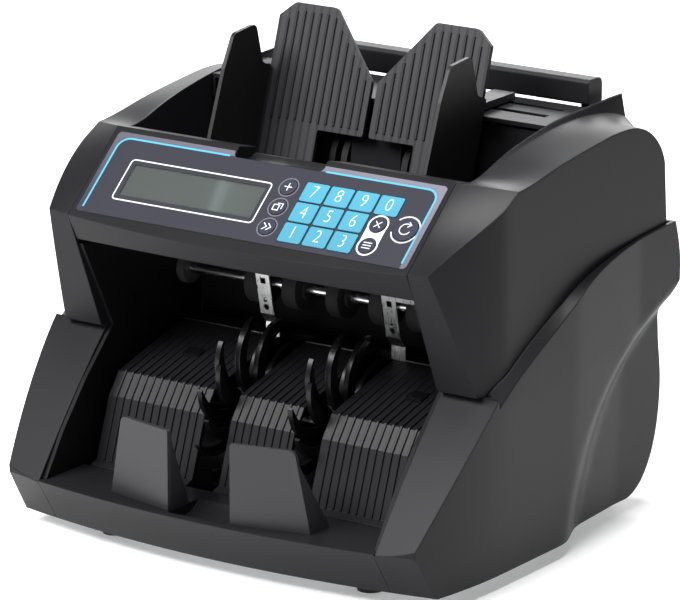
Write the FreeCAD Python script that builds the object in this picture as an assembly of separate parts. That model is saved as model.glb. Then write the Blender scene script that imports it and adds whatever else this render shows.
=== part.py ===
import FreeCAD, Part
import math
import os

# Banknote counting machine. Millimetres. X to the operator's right, Y to the back, Z up.
# The origin is the bottom centre of the bounding box: the feet stand on Z = 0.

# Driving dimensions of the housing
WALL = 2.6                # moulded wall of the covers
INNER_HALF = 111.0        # half width between the side covers
FLOOR_Z = 8.0             # underside of the housing above the feet
LEDGE_Z = 34.0            # top of the front ledge, where the counted notes stand
SKIN_HALF = 139.5         # half width of the upper covers
SHELL_HALF = 142.0        # half width of the lower shells at the bottom
SHELL_FLARE = 5.0         # how much the lower shells widen towards their top edge
BAND_FRONT = 132.0        # how far the front band bows forward at its middle
BAND_RADIUS = 648.0       # plan radius of that bow
BAND_UNDERCUT = 17.0      # how far the band's bottom edge is set back

# Front profile, as (Y, Z): jaw of the mouth, lip under the panel, top of the panel
JAW = (-58.0, 108.0)
LIP = (-92.0, 178.0)
PANEL_TOP = (-46.0, 218.0)
BEZEL_REAR = (-31.0, 214.5)

# Control panel: an inclined frame with its origin at the middle of the lip
PANEL_ANGLE = math.degrees(math.atan2(PANEL_TOP[1] - LIP[1], PANEL_TOP[0] - LIP[0]))
OVERLAY_HALF = 108.0
OVERLAY_LOW = 3.2
OVERLAY_HIGH = 57.5
OVERLAY_THICK = 0.8
OVERLAY_CORNER = 2.5
NOTCH_HALF = 29.0
NOTCH_LOW = 54.0
DISPLAY = (-86.5, 1.0, 17.6, 38.4)      # window: X from, X to, slope from, slope to
KEY_W, KEY_H = 14.8, 12.4
KEY_X0, KEY_PITCH_X = 31.7, 16.0
KEY_S0, KEY_PITCH_S = 12.7, 13.4
KEY_PROUD = 0.5
KEY_ROOT = -4.2                         # how deep a key reaches below the panel face
ROUND_X, ROUND_R = 14.4, 5.0
CLEAR_POS = (79.0, 27.0)
BATCH_POS = (79.0, 13.2)
SMALL_R = 4.9
RESTART_POS = (96.3, 27.0)
RESTART_R = 7.2
KEY_GAP = 0.35

# Shafts, as (Y, Z) of the axis and radius
FEED = (60.0, 190.0)
EXIT = (11.0, 126.0)
STACKER = (-32.0, 68.0)
MOTOR = (75.0, 60.0)
FEED_SHAFT_R = 4.0
SHAFT_R = 3.0
FEED_ROLLER_R = 21.0
EXIT_ROLLER_R = 12.5
WHEEL_R = 50.0
BLADES = 10
RUNNING = 0.05                          # radial clearance of a shaft in its bush
BUSH_R = 7.0
PULLEY_X = (-127.5, -119.5)
PULLEY_R = {"feed": 12.0, "exit": 14.5, "stacker": 14.0, "motor": 8.0}
BELT_GAP = 0.3
BELT_THICK = 1.6

# Mechanism side frames and cheeks
CHEEK_X = (108.3, 110.8)
FRAME_X = (114.0, 115.6)

# Stacker tray: the ribbed tongues, as X ranges, and the ledge behind the front band
TONGUES = ((-104.5, -39.0), (-21.0, 21.0), (39.0, 104.5))
WHEEL_X = (24.0, 36.0)

RIB_PITCH = 5.0
GUIDE_PLATE_Y = (26.0, 29.0)
SHAFT_X = (-128.2, 119.0)
BELT_X = (-126.5, -120.5)

# Front band, bottom plate, feet and screws
BAND_HALF = 110.8
LEDGE_BACK = -84.0
SCOOP_X = (-20.0, 18.0)
SCOOP_AXIS = (-112.0, 48.0)
SCOOP_R = 20.0
PAN_TOP = 10.5
FEET = ((-85, -87), (85, -87), (-85, 95), (85, 95))
FOOT_R = 8.0
BOSS_X = 120.0
BOSS_Y = (-72.0, -20.0, 40.0, 92.0)
SCREW_R = 1.5

# Stoppers, bezel lip and control board
STOP_X = (20.5, 67.0)
STOP_Y = (-125.0, -115.0)
STOP_TOP = 79.0
LIP_FOOT = (-84.5, 162.5)
LIP_BOW = 5.5
BOARD_N = (-7.0, -5.4)

# Handle, rail knob, mains inlet and its switch
HANDLE_HALF = 104.5
HANDLE_LEG = 100.0
KNOB_Y = 83.0
INLET_BODY = (-88.7, -31.3, 28.3, 51.7)
ROCKER_X = -44.0
ROCKER_AXIS = (123.5, 40.0)
ROCKER_SWING = 24.0

# Hopper guides
GUIDE_INNER = 2.0
GUIDE_OUTER = 70.0
GUIDE_FOOT = (31.0, 211.0)              # (Y, Z) of the ribbed plate's lower edge
GUIDE_TILT = 17.85
GUIDE_THICK = 2.4
RAIL_Z = (228.5, 231.0)
RAIL_Y = (41.0, 90.0)
SLOTS_Y = ((57.4, 62.6), (74.4, 78.6))

V = FreeCAD.Vector


def box(x0, x1, y0, y1, z0, z1):
    return Part.makeBox(x1 - x0, y1 - y0, z1 - z0, V(x0, y0, z0))


def cyl_x(centre, radius, x0, x1):
    return Part.makeCylinder(radius, x1 - x0, V(x0, centre[0], centre[1]), V(1, 0, 0))


def cyl_z(x, y, radius, z0, z1):
    return Part.makeCylinder(radius, z1 - z0, V(x, y, z0), V(0, 0, 1))


def mirrored(shape):
    return shape.mirror(V(0, 0, 0), V(1, 0, 0))


def outline(pieces, x):
    """Closed wire in the plane X = x. A piece is a list of (Y, Z): two make a line, more a smooth curve."""
    edges = []
    for piece in pieces:
        points = [V(x, y, z) for y, z in piece]
        if len(points) == 2:
            edges.append(Part.makeLine(points[0], points[1]))
        else:
            curve = Part.BSplineCurve()
            curve.interpolate(points)
            edges.append(curve.toShape())
    return Part.Wire(edges)


def extruded(points, x0, x1):
    """Prism of a polygon given as (Y, Z) points, from X = x0 to X = x1."""
    corners = [V(x0, y, z) for y, z in points]
    face = Part.Face(Part.makePolygon(corners + [corners[0]]))
    return face.extrude(V(x1 - x0, 0, 0))


def extruded_curves(pieces, x0, x1):
    return Part.Face(outline(pieces, x0)).extrude(V(x1 - x0, 0, 0))


def moved_in(points, distance):
    """Polygon of (Y, Z) points, counter-clockwise, with every side moved inwards."""
    sides = []
    for i, (y, z) in enumerate(points):
        y2, z2 = points[(i + 1) % len(points)]
        length = math.hypot(y2 - y, z2 - z)
        normal = (-(z2 - z) / length, (y2 - y) / length)
        sides.append((y + normal[0] * distance, z + normal[1] * distance, y2 - y, z2 - z))
    corners = []
    for i, (y, z, dy, dz) in enumerate(sides):
        py, pz, qy, qz = sides[i - 1]
        cross = qy * dz - qz * dy
        t = ((y - py) * dz - (z - pz) * dy) / cross
        corners.append((py + t * qy, pz + t * qz))
    return corners


def skin_block(half_width, y_range, z_range, depth):
    """Block whose outer side is the surface X = half_width(Y, Z), and which is depth thick."""
    steps = 36
    rows = []
    for i in range(steps + 1):
        y = y_range[0] + (y_range[1] - y_range[0]) * i / steps
        row = []
        for j in range(steps + 1):
            z = z_range[0] + (z_range[1] - z_range[0]) * j / steps
            row.append(V(half_width(y, z), y, z))
        rows.append(row)
    surface = Part.BSplineSurface()
    surface.interpolate(rows)
    block = surface.toShape().extrude(V(-depth, 0, 0))
    if block.Volume < 0:
        block.reverse()
    return block


def fused(shapes):
    return shapes[0].multiFuse(shapes[1:]).removeSplitter()


def on_panel(shape):
    """Moves a shape from panel coordinates (X, slope, outward) to its place."""
    placed = shape.copy()
    placed.Placement = FreeCAD.Placement(
        V(0, LIP[0], LIP[1]), FreeCAD.Rotation(V(1, 0, 0), PANEL_ANGLE)
    )
    return placed


def rounded_plate(x0, x1, s0, s1, radius, n0, n1):
    """Flat plate with rounded corners, lying in X and Y, between heights n0 and n1."""
    plate = box(x0, x1, s0, s1, n0, n1)
    upright = [e for e in plate.Edges if abs(e.Vertexes[0].Z - e.Vertexes[-1].Z) > 0.1 * (n1 - n0)]
    return plate.makeFillet(radius, upright)


# ---------------------------------------------------------------- housing outlines

SEAM = [(-64, 104), (-41, 119.5), (-16, 132.5), (8, 142.5), (29, 150.5), (48, 155.5)]
SEAM += [(75, 160.5), (140, 165)]
LEDGE_EDGE = [(-64, 98), (-34, 118), (-8, 131), (12, 141), (31, 150.5), (50, 157)]
LEDGE_EDGE += [(75, 161.5), (140, 165)]
SHOULDER = [(-46, 218), (-32, 215.5), (-8, 221.5), (20, 228), (50, 232.3), (80, 233.8)]
SHOULDER += [(102, 234.4), (118, 234.4)]
CREST = [(-28, 213), (0, 217.5), (30, 221.7), (60, 224.6), (86, 226), (103, 223.6)]
CREST += [(114.5, 216.5), (119.5, 203)]
CREST_X = 138.0
LOFT_X = 150.0
COVE_X = 113.5              # foot of the cove that runs up to the inner edge of the shoulder
COVE_DEPTH = 10.0           # its depth at the back; it runs out towards the front
BACK_FOOT = (123.0, 95.0)
STRIP = [(-121.5, 33), (-104, 56), (-84, 80), (-58, 108)]
SHELL_BACK_TOP = [(126, 166), (130, 153), (132, 141), (131.5, 130)]
SHELL_BACK_LOW = [(126, 123.5), (124.5, 111), (126, 96), (130, 78), (131.5, 60), (130, 42)]
SHELL_BACK_LOW += [(125, 26), (116, 14), (102, 8)]


def upper_half_width(y, z):
    draft = 1.5 * (170.0 - z) / 60.0
    tuck = 0.061 * max(0.0, -40.0 - y) ** 1.4
    return SKIN_HALF + draft - tuck


def lower_half_width(y, z):
    nose = 5.5 * (max(0.0, -45.0 - y) / 56.0) ** 2
    flare = SHELL_FLARE * min(1.0, (z - FLOOR_Z) / 95.0)
    fade = 5.0 * min(1.0, max(0.0, (y - 20.0) / 70.0))
    grip_edge = 12.0 + 0.28 * z + 70.0 * (z / 122.0) ** 4
    into_grip = min(1.0, max(0.0, (y - grip_edge + 4.0) / 40.0))
    grip = 9.5 * 0.5 * (1.0 - math.cos(math.pi * into_grip))
    return SHELL_HALF - nose + flare - fade - grip


def front_bow_wire(z, set_back):
    """Plan outline at height z: the bowed front and a straight back."""
    half = 165.0
    front = -BAND_FRONT + set_back
    sag = BAND_RADIUS - math.sqrt(BAND_RADIUS ** 2 - half ** 2)
    left = V(-half, front + sag, z)
    right = V(half, front + sag, z)
    back_left = V(-half, 150, z)
    back_right = V(half, 150, z)
    bow = Part.Arc(left, V(0, front, z), right).toShape()
    sides = [Part.makeLine(right, back_right), Part.makeLine(back_right, back_left)]
    return Part.Wire([bow] + sides + [Part.makeLine(back_left, left)])


def front_bow_block(inset=0.0):
    """Everything behind the bowed front: undercut below the ledge, upright above it."""
    low = Part.makeLoft(
        [front_bow_wire(FLOOR_Z - 4, BAND_UNDERCUT + 2.7 + inset), front_bow_wire(LEDGE_Z, inset)], True, True
    )
    high = Part.makeLoft([front_bow_wire(LEDGE_Z, inset), front_bow_wire(190, inset)], True, True)
    return low.fuse(high)


def upper_loft():
    """The upper cover's form between the mouth plane and beyond its side, before the side is trimmed."""
    reach = (LOFT_X - INNER_HALF) / (CREST_X - INNER_HALF)

    def out(inner, outer):
        return (inner[0] + (outer[0] - inner[0]) * reach, inner[1] + (outer[1] - inner[1]) * reach)

    foot = (JAW[0], 95.0)
    lip = out(LIP, (-92.0, 180.0))
    crest = [out(PANEL_TOP, CREST[0])]
    crest += [(y, z + (z - height_on(SHOULDER, y)) * (reach - 1)) for y, z in CREST[1:]]
    share = (COVE_X - INNER_HALF) / (LOFT_X - INNER_HALF)
    cove = []
    for i, ((y0, z0), (y1, z1)) in enumerate(zip(SHOULDER, crest)):
        drop = COVE_DEPTH * (i / (len(crest) - 1)) ** 3
        cove.append((y0 + (y1 - y0) * share, z0 + (z1 - z0) * share - drop))
    cove_lip = (LIP[0] + (lip[0] - LIP[0]) * share, LIP[1] + (lip[1] - LIP[1]) * share)
    sections = []
    for corner, top, x in ((LIP, SHOULDER, INNER_HALF), (cove_lip, cove, COVE_X), (lip, crest, LOFT_X)):
        pieces = [[foot, corner], [corner, top[0]], top, [top[-1], BACK_FOOT], [BACK_FOOT, foot]]
        sections.append(outline(pieces, x))
    return Part.makeLoft(sections, True, True)


def height_on(curve, y):
    """Height of a seam or edge, given as (Y, Z) points, at a given Y."""
    for (y0, z0), (y1, z1) in zip(curve, curve[1:]):
        if y <= y1:
            return z0 + (z1 - z0) * max(0.0, y - y0) / (y1 - y0)
    return curve[-1][1]


def below_curve(curve, x0, x1, drop):
    """Everything under a seam curve lowered by drop."""
    points = [(y, z - drop) for y, z in curve]
    start, end = points[0], points[-1]
    pieces = [
        points,
        [end, (end[0], -20)],
        [(end[0], -20), (-170, -20)],
        [(-170, -20), (-170, start[1] - 30)],
        [(-170, start[1] - 30), start],
    ]
    return extruded_curves(pieces, x0, x1)


def upper_cover():
    """Side cover above the seam: cheek bevel beside the panel, shoulder, side wall and hopper wall."""
    cover = upper_loft().common(skin_block(upper_half_width, (-110, 140), (80, 250), 60))
    room = [JAW, BACK_FOOT, (119, 180), (112, 210), (84, 222), (30, 218), (-30, 207), (-50, 198), (-92, 176)]
    inside = skin_block(lambda y, z: upper_half_width(y, z) - WALL, (-110, 140), (60, 250), 60)
    hollow = extruded(moved_in(room, WALL), INNER_HALF + 2.2, 160)
    front, back = JAW[0] + WALL, BACK_FOOT[0] - WALL
    foot = extruded([(front, 90), (back, 90), (back, 130), (front + 5, 130)], INNER_HALF + 2.2, 160)
    cover = cover.cut(hollow.fuse(foot).common(inside))
    cover = cover.cut(below_curve(SEAM, 100, 170, 6.0))
    cover = cover.cut(box(100, 160, -75, JAW[0] + WALL + 0.1, 80, JAW[1] + 0.3))
    for axis in (FEED, EXIT):
        cover = cover.cut(cyl_x(axis, BUSH_R + 2, INNER_HALF - 1, INNER_HALF + 3))
    return cover


def shell_outline():
    top = SEAM[0][1] + 30
    return [
        [(-160, FLOOR_Z), (-160, STRIP[0][1])],
        [(-160, STRIP[0][1]), STRIP[0]],
        STRIP,
        [STRIP[-1], (-58, top + 40)],
        [(-58, top + 40), (126, top + 40)],
        [(126, top + 40), SHELL_BACK_TOP[0]],
        SHELL_BACK_TOP,
        [SHELL_BACK_TOP[-1], SHELL_BACK_LOW[0]],
        SHELL_BACK_LOW,
        [SHELL_BACK_LOW[-1], (-160, FLOOR_Z)],
    ]


def shell_hollow():
    """Room inside a lower shell, open towards the middle and at the bottom."""
    strip = [(y + WALL, z - WALL * 0.6) for y, z in STRIP]
    back = [(y - WALL, z) for y, z in SHELL_BACK_TOP[1:] + SHELL_BACK_LOW[:-2]]
    points = [(-112.5, -5), (-121.5, 27), (-118.4, 30.5)] + strip[1:-1]
    points += [(JAW[0] + WALL, 105.4), (JAW[0] + WALL, 175)]
    points += [(back[0][0], 175)] + back + [(112, 10), (112, -5)]
    inside = skin_block(lambda y, z: lower_half_width(y, z) - WALL, (-145, 150), (-10, 190), 60)
    room = extruded(points[::-1], 100, 160).common(inside).common(front_bow_block(WALL))
    return room.common(below_curve(SEAM, 90, 170, 9.0))


def lower_shell():
    """Lower side shell: front strip, flared side with its grip recess, ledge round the upper cover."""
    side = skin_block(lower_half_width, (-140, 145), (0, 185), 40)
    body = extruded_curves(shell_outline(), INNER_HALF, 160).common(side).common(front_bow_block())
    body = body.cut(shell_hollow()).cut(above_ledge())
    start, end = JAW[0] + 2.0, BACK_FOOT[0] + 0.4
    nest = skin_block(lambda y, z: upper_half_width(y, z) + 0.35, (start, end), (60, 200), 60)
    body = body.cut(nest.cut(below_curve(SEAM, 60, 160, 6.4)))
    middle = box(INNER_HALF - 1, 137.2, start, end, 60, 200)
    body = body.cut(middle.cut(below_curve(SEAM, 60, 160, 9.6)))
    for y in BOSS_Y:
        wall_x = lower_half_width(y, 18) - 1.0
        body = body.fuse(cyl_z(BOSS_X, y, 3.6, 10.6, 26).fuse(box(BOSS_X, wall_x, y - 1, y + 1, 10.6, 26)))
        body = body.cut(cyl_z(BOSS_X, y, SCREW_R, 10, 20))
    return body


def above_ledge():
    """What lies above the ledge where the upper cover sinks into the lower shell."""
    slope = (LOFT_X + 8 - SKIN_HALF) / 7.0
    outer = []
    for y, z in LEDGE_EDGE:
        seam = height_on(SEAM, y)
        outer.append((y, seam + (z - seam) * slope))

    def closed(curve, x):
        start, end = curve[0], curve[-1]
        return outline(
            [curve, [end, (end[0], 260)], [(end[0], 260), (start[0], 260)], [(start[0], 260), start]], x
        )

    ledge = Part.makeLoft([closed(SEAM, SKIN_HALF), closed(outer, LOFT_X + 8)], True, True)
    middle = Part.Face(closed(SEAM, INNER_HALF - 5)).extrude(V(SKIN_HALF - INNER_HALF + 5, 0, 0))
    strip_top = box(INNER_HALF - 5, 160, -70, JAW[0] + 2.0, JAW[1], 200)
    return ledge.fuse(middle).cut(box(INNER_HALF - 6, 160, -80, -58, 90, JAW[1])).fuse(strip_top)


def flat(points, z0, z1):
    """Upright prism of a polygon given as (X, Y) points."""
    corners = [V(x, y, z0) for x, y in points]
    return Part.Face(Part.makePolygon(corners + [corners[0]])).extrude(V(0, 0, z1 - z0))


def both_sides(shapes):
    return Part.makeCompound(shapes + [mirrored(s) for s in shapes])


def rounded_face(points, radii, place):
    """Face of a polygon with rounded corners; place turns a corner (u, v) into a point."""
    cuts = []
    for i, (u, v) in enumerate(points):
        before = V(points[i - 1][0] - u, points[i - 1][1] - v, 0).normalize()
        after_u, after_v = points[(i + 1) % len(points)]
        after = V(after_u - u, after_v - v, 0).normalize()
        corner = V(u, v, 0)
        if radii[i] == 0:
            cuts.append((corner, corner, corner))
            continue
        half = before.getAngle(after) / 2
        reach = radii[i] / math.tan(half)
        bisector = (before + after).normalize()
        middle = corner + bisector * (radii[i] / math.sin(half) - radii[i])
        cuts.append((corner + before * reach, middle, corner + after * reach))
    edges = []
    for i, (start, middle, end) in enumerate(cuts):
        if start != end:
            edges.append(Part.Arc(place(start), place(middle), place(end)).toShape())
        edges.append(Part.makeLine(place(end), place(cuts[(i + 1) % len(cuts)][0])))
    return Part.Face(Part.Wire(edges))


# ---------------------------------------------------------------- base and front

def front_band():
    """Bowed front between the side shells, with the ledge on top and the finger scoop in it."""
    band = front_bow_block().common(box(-BAND_HALF, BAND_HALF, -140, LEDGE_BACK, FLOOR_Z, LEDGE_Z))
    room = front_bow_block(WALL).common(
        box(-BAND_HALF - 1, BAND_HALF + 1, -140, LEDGE_BACK + 1, FLOOR_Z - 1, LEDGE_Z - WALL)
    )
    room = room.cut(box(SCOOP_X[0] - WALL, SCOOP_X[1] + WALL, -140, -92, 24.5, LEDGE_Z))
    return band.cut(room).cut(cyl_x(SCOOP_AXIS, SCOOP_R, SCOOP_X[0], SCOOP_X[1]))


def screw_places():
    return [(side * BOSS_X, y) for side in (-1, 1) for y in BOSS_Y]


def base_pan():
    """Steel bottom plate with two stiffening flanges and a threaded boss over each foot."""
    right = [(0, -110), (110, -101), (133, -94), (135.5, -50), (135.5, 8), (124.4, 46), (124.4, 99)]
    right += [(109.5, 99), (109.5, 119), (0, 119)]
    plate = flat(right + [(-x, y) for x, y in right[-2:0:-1]], FLOOR_Z, PAN_TOP)
    front_flange = box(-100, 100, -98, -96, FLOOR_Z, PAN_TOP + 6)
    rear_flange = box(-109.5, 109.5, 117, 119, FLOOR_Z, PAN_TOP + 6)
    pan = fused([plate, front_flange, rear_flange] + [cyl_z(x, y, 4.2, FLOOR_Z, 15) for x, y in FEET])
    for x, y in FEET:
        pan = pan.cut(cyl_z(x, y, SCREW_R, FLOOR_Z - 1, 16))
    for x, y in screw_places():
        pan = pan.cut(cyl_z(x, y, SCREW_R + 0.2, FLOOR_Z - 1, PAN_TOP + 1))
    return pan


def feet():
    """Four rubber feet, each with a counterbored hole for its screw."""
    solids = []
    for x, y in FEET:
        foot = Part.makeCone(FOOT_R - 0.8, FOOT_R, FLOOR_Z, V(x, y, 0), V(0, 0, 1))
        solids.append(foot.cut(cyl_z(x, y, 4.0, 0, 3.4)).cut(cyl_z(x, y, SCREW_R + 0.2, 3, FLOOR_Z)))
    return Part.makeCompound(solids)


def screw(x, y, seat, tip, head_r):
    """Pan-head screw from below: its head under the seat, its shank up to the tip."""
    head = cyl_z(x, y, head_r, seat - 1.8, seat)
    across = box(x - 2, x + 2, y - 0.4, y + 0.4, seat - 1.8, seat - 1)
    along = box(x - 0.4, x + 0.4, y - 2, y + 2, seat - 1.8, seat - 1)
    return fused([head, cyl_z(x, y, SCREW_R - 0.05, seat, tip)]).cut(across.fuse(along))


def base_screws():
    """Screws of the feet and of the two lower shells."""
    solids = [screw(x, y, 3.4, 14.5, 3.4) for x, y in FEET]
    solids += [screw(x, y, FLOOR_Z, 19, 3.0) for x, y in screw_places()]
    return Part.makeCompound(solids)


def stopper():
    """Right front stop for the counted notes: a slanted plate that two gussets hold from behind."""
    y_in, y_out = STOP_Y
    turn = math.degrees(math.atan2(y_out - y_in, STOP_X[1] - STOP_X[0]))
    corners = [(STOP_X[0], LEDGE_Z), (STOP_X[1], LEDGE_Z), (STOP_X[1] - 9, STOP_TOP), (STOP_X[0], STOP_TOP)]
    face = rounded_face(corners, [0, 0, 4, 1.5], lambda p: V(p.x, y_in, p.y))
    plate = face.extrude(V(0, 2.6, 0))
    plate.rotate(V(STOP_X[0], y_in, 0), V(0, 0, 1), turn)
    gusset = [(y_in + 1, LEDGE_Z), (y_in + 19, LEDGE_Z), (y_in + 2, STOP_TOP - 2)]
    inner = extruded(gusset, STOP_X[0], STOP_X[0] + 2.4)
    foot_x, top_x = STOP_X[1] - 1.6, STOP_X[1] - 9.5
    ends = [V(foot_x, y_out + 1, LEDGE_Z), V(foot_x, y_out + 18, LEDGE_Z)]
    ends.append(V(top_x, y_out - 0.8, STOP_TOP - 5))
    outer = Part.Face(Part.makePolygon(ends + [ends[0]])).extrude(V(-2.4, 0, 0))
    return fused([plate, inner, outer])


# ---------------------------------------------------------------- control panel

def behind_lip():
    """Everything behind the bezel's front face, which leans and bows forward."""
    z = 220.0
    lean = (LIP_FOOT[0] - LIP[0]) / (LIP[1] - LIP_FOOT[1])
    start = LIP[0] - lean * (z - LIP[1])
    left, right = V(-115, start, z), V(115, start, z)
    bow = Part.Arc(left, V(0, start - LIP_BOW, z), right).toShape()
    back = [Part.makeLine(right, V(115, 60, z)), Part.makeLine(V(115, 60, z), V(-115, 60, z))]
    wire = Part.Wire([bow] + back + [Part.makeLine(V(-115, 60, z), left)])
    return Part.Face(wire).extrude(V(0, lean * 80, -80))


def notch_scoop(half):
    """The bowl behind the notch in the panel's top edge."""
    return on_panel(cyl_x((NOTCH_LOW + 18.0, 3.0), 18.3, -half, half))


def front_bezel():
    """Hollow nose that carries the control panel, with a finger notch into the hopper."""
    rear = [(-70.0, 160.0), (-31.0, 196.0), BEZEL_REAR, PANEL_TOP]
    solid = extruded([(-98.0, 172.8), (-90.5, 163.5)] + rear, -BAND_HALF, BAND_HALF).common(behind_lip())
    cavity = extruded(moved_in([LIP, LIP_FOOT] + rear, 3.0), -BAND_HALF + 3, BAND_HALF - 3)
    cavity = cavity.cut(on_panel(box(-NOTCH_HALF - 3, NOTCH_HALF + 3, NOTCH_LOW - 3, 80, -18, 1)))
    bezel = solid.cut(cavity).cut(notch_scoop(NOTCH_HALF))
    half, low, high = OVERLAY_HALF + 0.1, OVERLAY_LOW - 0.1, OVERLAY_HIGH + 0.1
    recess = rounded_plate(-half, half, low, high, OVERLAY_CORNER + 0.1, -OVERLAY_THICK, 1)
    bezel = bezel.cut(on_panel(recess))
    x0, x1, s0, s1 = DISPLAY
    bezel = bezel.cut(on_panel(box(x0 - 1.5, x1 + 1, s0 - 1.6, s1 + 1.6, -4, 1)))
    return bezel.cut(on_panel(box(7, 106, 5, 48, -4, 1)))


def key_places():
    """Name, centre X, centre slope, and radius (None for a square key) of every key."""
    rows = (("7", "8", "9", "0"), ("4", "5", "6"), ("1", "2", "3"))
    places = []
    for row, names in enumerate(rows):
        for column, name in enumerate(names):
            place = (KEY_X0 + column * KEY_PITCH_X, KEY_S0 + (2 - row) * KEY_PITCH_S)
            places.append((name, place[0], place[1], None))
    for row, name in enumerate(("speed", "density", "add")):
        places.append((name, ROUND_X, 13.8 + row * 13.3, ROUND_R))
    places.append(("clear", CLEAR_POS[0], CLEAR_POS[1], SMALL_R))
    places.append(("batch", BATCH_POS[0], BATCH_POS[1], SMALL_R))
    places.append(("restart", RESTART_POS[0], RESTART_POS[1], RESTART_R))
    return places


def key_prism(x, s, radius, grow, n0, n1):
    if radius is None:
        half_w, half_h = KEY_W / 2 + grow, KEY_H / 2 + grow
        return rounded_plate(x - half_w, x + half_w, s - half_h, s + half_h, 1.2 + grow, n0, n1)
    return cyl_z(x, s, radius + grow, n0, n1)


def key_cap(x, s, radius):
    """One key, with its top edge broken."""
    cap = key_prism(x, s, radius, 0.0, KEY_ROOT, KEY_PROUD)
    rim = [e for e in cap.Edges if min(v.Z for v in e.Vertexes) > KEY_PROUD - 0.01]
    return on_panel(cap.makeChamfer(0.25, rim))


def panel_overlay():
    """Printed front sheet with a hole for every key and for the display window."""
    edges = (-OVERLAY_HALF, OVERLAY_HALF, OVERLAY_LOW, OVERLAY_HIGH)
    sheet = rounded_plate(*edges, OVERLAY_CORNER, -OVERLAY_THICK, 0)
    sheet = sheet.cut(rounded_plate(-NOTCH_HALF - 0.5, NOTCH_HALF + 0.5, NOTCH_LOW - 0.5, 80, 3.0, -2, 1))
    sheet = sheet.cut(rounded_plate(*DISPLAY, 0.8, -2, 1))
    for _, x, s, radius in key_places():
        sheet = sheet.cut(key_prism(x, s, radius, KEY_GAP, -2, 1))
    return on_panel(sheet)


def display_window():
    x0, x1, s0, s1 = DISPLAY
    return on_panel(rounded_plate(x0 + 0.05, x1 - 0.05, s0 + 0.05, s1 - 0.05, 0.75, -OVERLAY_THICK, -0.1))


def display_module():
    """Liquid crystal cell in a metal frame, standing on the control board."""
    x0, x1, s0, s1 = DISPLAY
    frame = box(x0 - 1.2, x1 + 0.8, s0 - 1.2, s1 + 1.2, BOARD_N[1], -OVERLAY_THICK - 0.1)
    return on_panel(frame)


def control_board():
    """Circuit board under the keys, with its controller and two sockets on the back."""
    board = box(-100, 107, 3, 50, BOARD_N[0], BOARD_N[1])
    chip = box(-60, -46, 20, 34, BOARD_N[0] - 2, BOARD_N[0])
    sockets = [box(x, x + 16, 38, 44, BOARD_N[0] - 6, BOARD_N[0]) for x in (10, 60)]
    return on_panel(fused([board, chip] + sockets))


# ---------------------------------------------------------------- note path

def mouth_cheek():
    """Flat right wall of the mouth, with holes for the bushes of the two lower shafts."""
    points = [(-118, LEDGE_Z), (26, LEDGE_Z), (26, 172), (-29, 194), (-69, 157.5), (-83, 159.5)]
    points += [(JAW[0] + 2, JAW[1]), (-82, 82), (-102, 58)]
    cheek = extruded(points, CHEEK_X[0], CHEEK_X[1])
    for axis in (EXIT, STACKER):
        cheek = cheek.cut(cyl_x(axis, BUSH_R + 0.3, CHEEK_X[0] - 1, CHEEK_X[1] + 1))
    return cheek.cut(cyl_x((-36, 121), 2.2, CHEEK_X[0] - 1, CHEEK_X[1] + 1))


def note_guide():
    """Upright plate behind the rollers, with the slot that the notes come out of."""
    plate = box(-108, 108, GUIDE_PLATE_Y[0], GUIDE_PLATE_Y[1], 40, 163)
    slot = box(-95, 95, GUIDE_PLATE_Y[0] - 1, GUIDE_PLATE_Y[1] + 1, 138, 144)
    ribs = [box(x - 1, x + 1, GUIDE_PLATE_Y[1], GUIDE_PLATE_Y[1] + 5, 40, 160) for x in (-100, -50, 50, 100)]
    return fused([plate.cut(slot)] + ribs)


def tray_panels():
    """Three ribbed tongues of the stacker tray, joined by a bar behind the stacker wheels."""
    top = [(20, 98), (2, 98), (-57, 82), (-66, 70), (-78, 36), (-83.6, 34.3)]
    under = [(-83.6, 32), (-76, 33), (-63.8, 68.8), (-55.6, 80), (2.4, 95.4), (20, 95.4)]
    raised = [(2, 98), (-57.2, 82.8), (-66.8, 70.4), (-78.6, 36.4), (-76, 36), (-64, 70), (-56, 81), (2, 97)]
    parts = [box(-108.2, 108.2, 14.2, 20, 94.2, 98)]
    for x0, x1 in TONGUES:
        parts.append(extruded(top + under, x0, x1))
        count = int((x1 - x0 - 6) / RIB_PITCH)
        first = (x0 + x1 - count * RIB_PITCH) / 2
        for i in range(count + 1):
            x = first + i * RIB_PITCH
            parts.append(extruded(raised, x - 0.7, x + 0.7))
    return fused(parts)


def leaf_strip(x0, x1, head):
    """Spring strip that presses the notes onto the exit rollers, with its clip on the tray's edge."""
    path = [(-9.5, 143), (-3, 112), (2, 106), (2, 98)]
    strip = extruded(path + [(y + 0.6, z) for y, z in reversed(path)], x0, x1)
    middle = (x0 + x1) / 2
    strip = strip.cut(box(middle - 1.8, middle + 1.8, -12, 2, 130, 133.6))
    strip = strip.cut(Part.makeCylinder(1.8, 20, V(middle, -14, 116), V(0, 1, 0)))
    if head > 0:
        arm = extruded([(-9.5, 143), (-7.6, 134), (-7.0, 134), (-8.9, 143)], x1, x1 + head)
        hole = Part.makeCylinder(1.8, 20, V(x1 + head * 0.6, -14, 138.5), V(0, 1, 0))
        strip = fused([strip, arm]).cut(hole)
    return strip


def leaf_strips():
    right = leaf_strip(37.5, 46.5, 19.5)
    left = leaf_strip(-46.5, -37.5, 0)
    return Part.makeCompound([right, left])


def shaft(axis, radius):
    return cyl_x(axis, radius, SHAFT_X[0], SHAFT_X[1])


def wheel(axis, outer, bore, x0, x1):
    return cyl_x(axis, outer, x0, x1).cut(cyl_x(axis, bore, x0 - 1, x1 + 1))


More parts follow.
